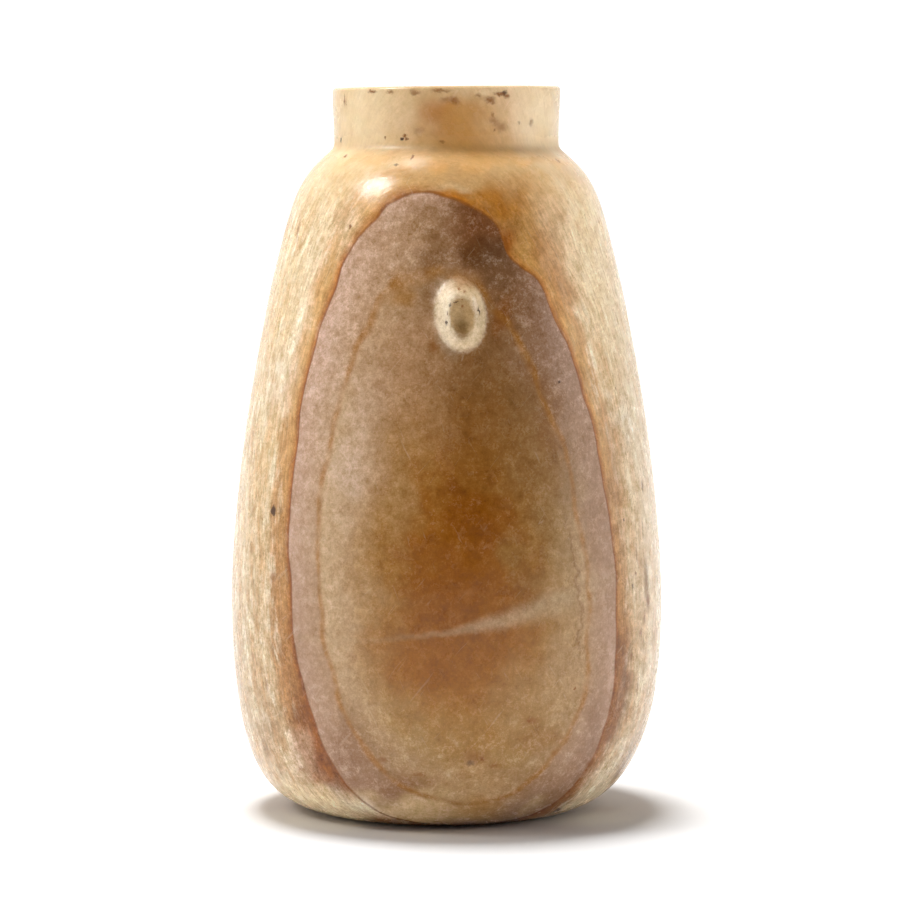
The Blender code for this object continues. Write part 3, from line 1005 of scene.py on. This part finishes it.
    # Pale crystals, in the ring more than in the heart, and where the foot is scuffed
    thin = add(tree, RANGE, {0: height, 1: 90.0, 2: 150.0, 3: 0.08, 4: 0.2})
    thin = add(tree, MIX, {0: in_heart, 2: thin, 3: 0.06})
    scuffed = add(tree, RANGE, {0: height, 1: 52.0, 2: 24.0, 3: 0.0, 4: 0.22})
    thin = add(tree, MATH, {0: thin, 1: scuffed}, operation="ADD")
    pale = add(tree, RANGE, {0: flecks, 1: 0.52, 2: 0.68})
    pale = add(tree, MATH, {0: pale, 1: thin}, operation="MULTIPLY")
    within = add(tree, MIX, {0: pale, 6: within, 7: linear("DCC4A6")}, data_type="RGBA").outputs[COLOUR]

    inside_vein = add(tree, RANGE, {0: outer, 1: -0.2, 2: 0.2}, interpolation_type="SMOOTHSTEP")
    colour = add(tree, MIX, {0: inside_vein, 6: outside, 7: within}, data_type="RGBA").outputs[COLOUR]

    # The outer vein, a red-brown line from half to one millimetre wide
    edge = add(tree, MATH, {0: outer, 1: 0.1}, operation="ADD")
    edge = add(tree, MATH, {0: edge}, operation="ABSOLUTE")
    fading = add(tree, RANGE, {0: mottle, 1: 0.35, 2: 0.6, 3: 0.6, 4: 1.0})
    breadth = add(tree, RANGE, {0: height, 1: 120.0, 2: 50.0, 3: 0.5, 4: 0.9})
    line = add(tree, RANGE, {0: edge, 1: breadth, 2: 0.1, 3: 0.0, 4: 0.8}, interpolation_type="SMOOTHSTEP")
    line = add(tree, MATH, {0: line, 1: fading}, operation="MULTIPLY")
    colour = add(tree, MIX, {0: line, 6: colour, 7: linear("8E5420")}, data_type="RGBA").outputs[COLOUR]

    # The lugs: cream where rubbed, olive with earth in the worn dish, with painted light on the left flank
    # and on the dish's right wall
    on_lug = None
    for turn, lean in ((0, LUG_LEAN), (180, 0.0)):
        for right, drop, half_width, half_height, edge, strength, shade in LUG_COLOURS_AND_PAINTED_LIGHT:
            mask = patch(
                tree,
                mark_place,
                turn + right,
                LUG_HEIGHT - drop,
                half_width,
                half_height,
                edge,
                strength,
                lean,
            )
            if on_lug is None:
                on_lug = mask
            colour = add(tree, MIX, {0: mask, 6: colour, 7: linear(shade)}, data_type="RGBA").outputs[COLOUR]

    # Flecks shade the stone by a tenth or two: least on the neck and in the heart,
    # most outside the veins and towards the foot
    worn = add(tree, RANGE, {0: height, 1: 150.0, 2: 30.0, 3: 1.5, 4: 2.6})
    worn = add(tree, MATH, {0: worn, 1: below_neck}, operation="MULTIPLY")
    rested = add(tree, RANGE, {0: height, 1: 8.0, 2: 20.0, 3: 0.5, 4: 1.0})
    worn = add(tree, MATH, {0: worn, 1: rested}, operation="MULTIPLY")
    worn = add(tree, MATH, {0: worn, 1: calm}, operation="MULTIPLY")
    depth = add(tree, RANGE, {0: height, 1: 150.0, 2: 90.0, 3: 1.8, 4: 1.3})
    depth = add(tree, MIX, {0: in_heart, 2: depth, 3: 1.5})
    depth = add(tree, MIX, {0: inside_vein, 2: worn, 3: depth})
    fleck = add(tree, MATH, {0: flecks, 1: 0.5}, operation="SUBTRACT")
    fleck = add(tree, MATH, {0: fleck, 1: depth}, operation="MULTIPLY")
    colour = shaded(tree, colour, fleck)

    # Hair scratches catch pale dust
    scratched = None
    for turn, seed in ((64, 1), (-52, 2)):
        hairs = scratches(tree, place, turn, seed)
        if scratched is None:
            scratched = hairs
        else:
            scratched = add(tree, MATH, {0: scratched, 1: hairs}, operation="MAXIMUM")
    dust = add(tree, MATH, {0: scratched, 1: 0.11}, operation="MULTIPLY")
    colour = add(tree, MIX, {0: dust, 6: colour, 7: linear("EBD8BC")}, data_type="RGBA").outputs[COLOUR]
    colour = clouded(tree, mark_place, colour, MARKS_AND_PAINTED_SHADE)

    # The hollow, bored and left rough
    bored = add(tree, "ShaderNodeAttribute", attribute_name="bored").outputs["Fac"]
    soil = add(tree, RANGE, {0: mottle, 1: 0.35, 2: 0.65, 3: 0.25, 4: 0.6})
    soil = add(tree, MATH, {0: soil, 1: bored}, operation="MULTIPLY")
    colour = add(tree, MIX, {0: soil, 6: colour, 7: linear("B39468")}, data_type="RGBA").outputs[COLOUR]
    tree.links.new(colour, surface.inputs["Base Color"])

    # Gloss of rubbed stone, broken by the grain; a duller lug and bore
    gloss = add(tree, RANGE, {0: mottle, 1: 0.3, 2: 0.7, 3: 0.16, 4: 0.32})
    gloss = add(tree, MATH, {0: fleck, 1: 0.16, 2: gloss}, operation="MULTIPLY_ADD")
    # The fillet under the neck, which a rubbing cloth hardly reaches
    away = add(tree, MATH, {0: height, 1: 229.5}, operation="SUBTRACT")
    away = add(tree, MATH, {0: away}, operation="ABSOLUTE")
    unrubbed = add(tree, RANGE, {0: away, 1: 4.0, 2: 1.0, 3: 0.0, 4: 0.2})
    gloss = add(tree, MATH, {0: gloss, 1: unrubbed}, operation="ADD")
    gloss = add(tree, MIX, {0: on_lug, 2: gloss, 3: 0.5})
    gloss = add(tree, MIX, {0: bored, 2: gloss, 3: 0.62})
    gloss = add(tree, MATH, {0: scratched, 1: 0.12, 2: gloss}, operation="MULTIPLY_ADD")
    tree.links.new(gloss.outputs[0], surface.inputs["Roughness"])

    # Grain a few hundredths of a millimetre deep
    relief = add(tree, MATH, {0: grains, 1: 0.5}, operation="MULTIPLY")
    relief = add(tree, MATH, {0: flecks, 1: 1.0, 2: relief}, operation="MULTIPLY_ADD")
    bump = add(tree, "ShaderNodeBump", {"Strength": 0.6, "Distance": 0.15 * MM, "Height": relief})
    tree.links.new(bump.outputs[0], surface.inputs["Normal"])

    surface.inputs["IOR"].default_value = 1.55
    surface.inputs["Specular IOR Level"].default_value = 0.3
    surface.inputs["Subsurface Weight"].default_value = 0.25
    surface.inputs["Subsurface Radius"].default_value = (1.0, 0.55, 0.28)
    surface.inputs["Subsurface Scale"].default_value = 1.6 * MM
    return material


vessel = bpy.data.objects.new("carved_flask", vessel_mesh())
bpy.context.scene.collection.objects.link(vessel)
cloud_layer(vessel.data, "inner_clouds_and_painted_light", INNER_CLOUDS_AND_PAINTED_LIGHT)
cloud_layer(vessel.data, "outer_clouds_and_painted_light", OUTER_CLOUDS_AND_PAINTED_LIGHT)
vessel.data.materials.append(calcite())
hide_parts("vessel")
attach(vessel, "root")


# ---------------------------------------------------------------------------------------------
# Floor, light and camera
# ---------------------------------------------------------------------------------------------


def pale_floor():
    """A matt white sheet under the flask."""
    material = bpy.data.materials.new("matt_white_sheet")
    material.use_nodes = True
    surface = material.node_tree.nodes["Principled BSDF"]
    surface.inputs["Base Color"].default_value = (0.9, 0.9, 0.9, 1.0)
    surface.inputs["Roughness"].default_value = 0.9
    surface.inputs["Specular IOR Level"].default_value = 0.0
    bpy.ops.mesh.primitive_plane_add(size=8.0, location=(0, 0, 0))
    floor = bpy.context.object
    floor.name = "pale_floor"
    floor.data.materials.append(material)


def soft_sun(name, azimuth, elevation, spread, strength, lights=True, mirrored=True):
    """A large distant softbox, azimuth 0 being the front. It may be flagged off the surfaces it
    would light, or polarised so that the polish does not mirror it."""
    data = bpy.data.lights.new(name, "SUN")
    data.angle = math.radians(spread)
    data.energy = strength
    light = bpy.data.objects.new(name, data)
    light.visible_diffuse = lights
    light.visible_glossy = mirrored
    bpy.context.scene.collection.objects.link(light)
    angle, lift = math.radians(azimuth), math.radians(elevation)
    towards = Vector(
        (math.sin(angle) * math.cos(lift), -math.cos(angle) * math.cos(lift), math.sin(lift))
    )
    light.rotation_euler = (-towards).to_track_quat("-Z", "Y").to_euler()


def white_surroundings():
    """A white studio behind and beside the flask, dimmer on the side that is looked from."""
    backdrop = 1.15
    world = bpy.data.worlds.new("white_studio")
    bpy.context.scene.world = world
    world.use_nodes = True
    tree = world.node_tree
    towards = add(tree, "ShaderNodeTexCoord").outputs["Generated"]
    split = add(tree, "ShaderNodeSeparateXYZ", {0: towards})
    before = add(tree, RANGE, {0: split.outputs["Z"], 1: 0.0, 2: 0.9, 3: 0.0, 4: 0.2})
    turned_back = add(tree, RANGE, {0: split.outputs["Y"], 1: -0.8, 2: 0.3}, interpolation_type="SMOOTHSTEP")
    behind = add(tree, RANGE, {0: split.outputs["Y"], 1: 0.3, 2: 0.9, 3: 0.15, 4: backdrop})
    strength = add(tree, MIX, {0: turned_back, 2: before, 3: behind})
    # The backdrop itself is white all round, however little light a side of it gives
    looked_at = add(tree, "ShaderNodeLightPath").outputs["Is Camera Ray"]
    strength = add(tree, MIX, {0: looked_at, 2: strength, 3: backdrop})
    background = tree.nodes["Background"]
    background.inputs["Color"].default_value = (1.0, 1.0, 1.0, 1.0)
    tree.links.new(strength.outputs[0], background.inputs["Strength"])


def stand_camera():
    """A long lens at the height of the neck, a little to the left of the front lug."""
    distance, height = 1350 * MM, 230.1 * MM
    azimuth, pitch, aside = math.radians(-4.3), math.radians(4.48), math.radians(0.051)
    data = bpy.data.cameras.new("camera")
    data.lens = 156.16
    data.sensor_width = 36.0
    data.clip_end = 50.0
    camera = bpy.data.objects.new("camera", data)
    bpy.context.scene.collection.objects.link(camera)
    camera.location = (distance * math.sin(azimuth), -distance * math.cos(azimuth), height)
    camera.rotation_euler = (math.radians(90) - pitch, 0.0, azimuth - aside)
    bpy.context.scene.camera = camera


pale_floor()
white_surroundings()
# Each sun: azimuth, elevation and spread in degrees, and strength
soft_sun("key", -77, 46, 14, 0.5, mirrored=False)
soft_sun("key_glint", -77, 46, 18, 3.2, lights=False)
soft_sun("overhead", -150, 80, 20, 3.4, mirrored=False)
soft_sun("overhead_glint", -112, 75, 16, 0.5, lights=False)
soft_sun("left_side", -90, 8, 46, 0.56)
soft_sun("right_side", 84, 9, 46, 0.8)
stand_camera()
bpy.context.scene.view_settings.view_transform = "Standard"
